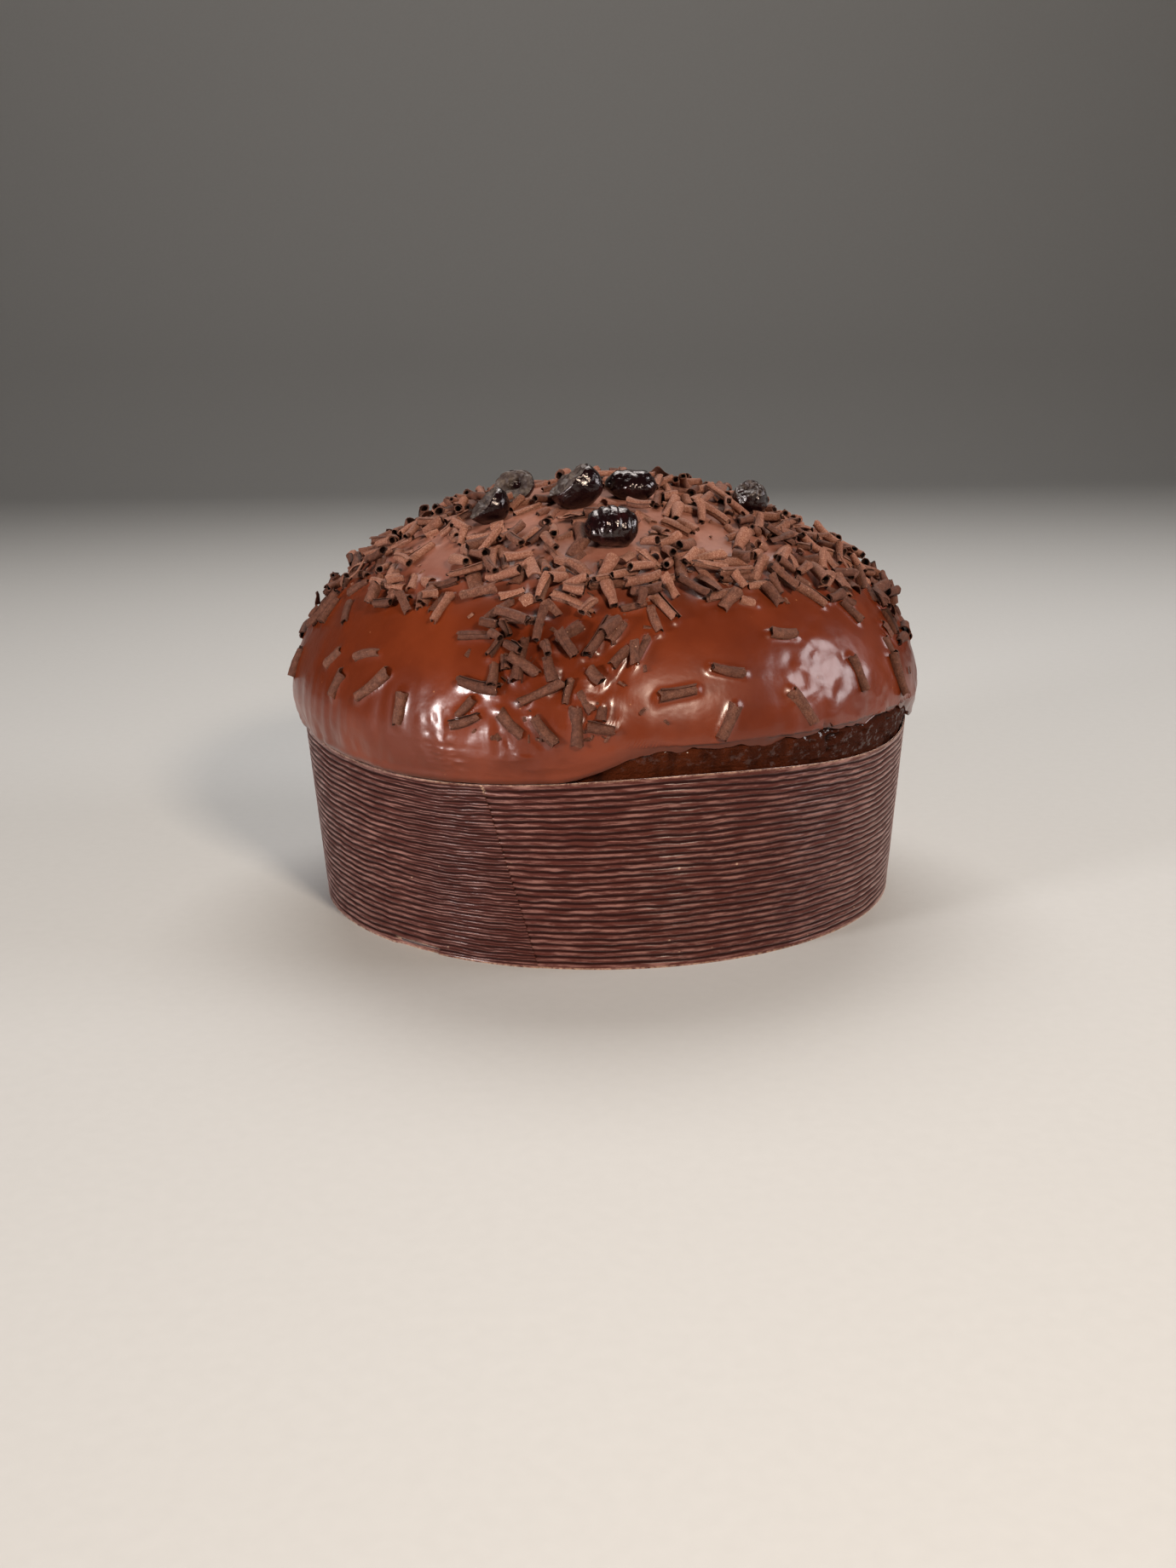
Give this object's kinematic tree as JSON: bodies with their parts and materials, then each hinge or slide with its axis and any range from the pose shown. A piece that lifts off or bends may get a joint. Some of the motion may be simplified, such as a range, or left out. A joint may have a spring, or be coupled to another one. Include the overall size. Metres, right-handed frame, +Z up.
{
  "type": "glazed low panettone in a paper case",
  "caption": "Low round panettone in a ribbed paper case, its dome glazed with chocolate and topped with chocolate curls and dark cherries.",
  "frame": {"origin": "centre of the case's flat underside, on the surface that the cake stands on", "axes": "+Z up through the crown; the pictured side faces -Y; +X to the right of it"},
  "size_m": [0.2181, 0.219, 0.1491],
  "materials": {
    "ribbed_paper": "dark brown ribbed baking paper with a satin sheen",
    "dark_crust": null,
    "chocolate_glaze": null,
    "black_cherry": null
  },
  "bodies": {
    "root": {"case": "ribbed_paper", "bread": "dark_crust", "glaze": "chocolate_glaze", "cherry_1": "black_cherry", "cherry_2": "black_cherry", "cherry_3": "black_cherry", "cherry_4": "black_cherry", "cherry_5": "black_cherry", "cherry_6": "black_cherry", "cherry_7": "black_cherry", "cherry_8": "black_cherry"}
  },
  "joints": []
}
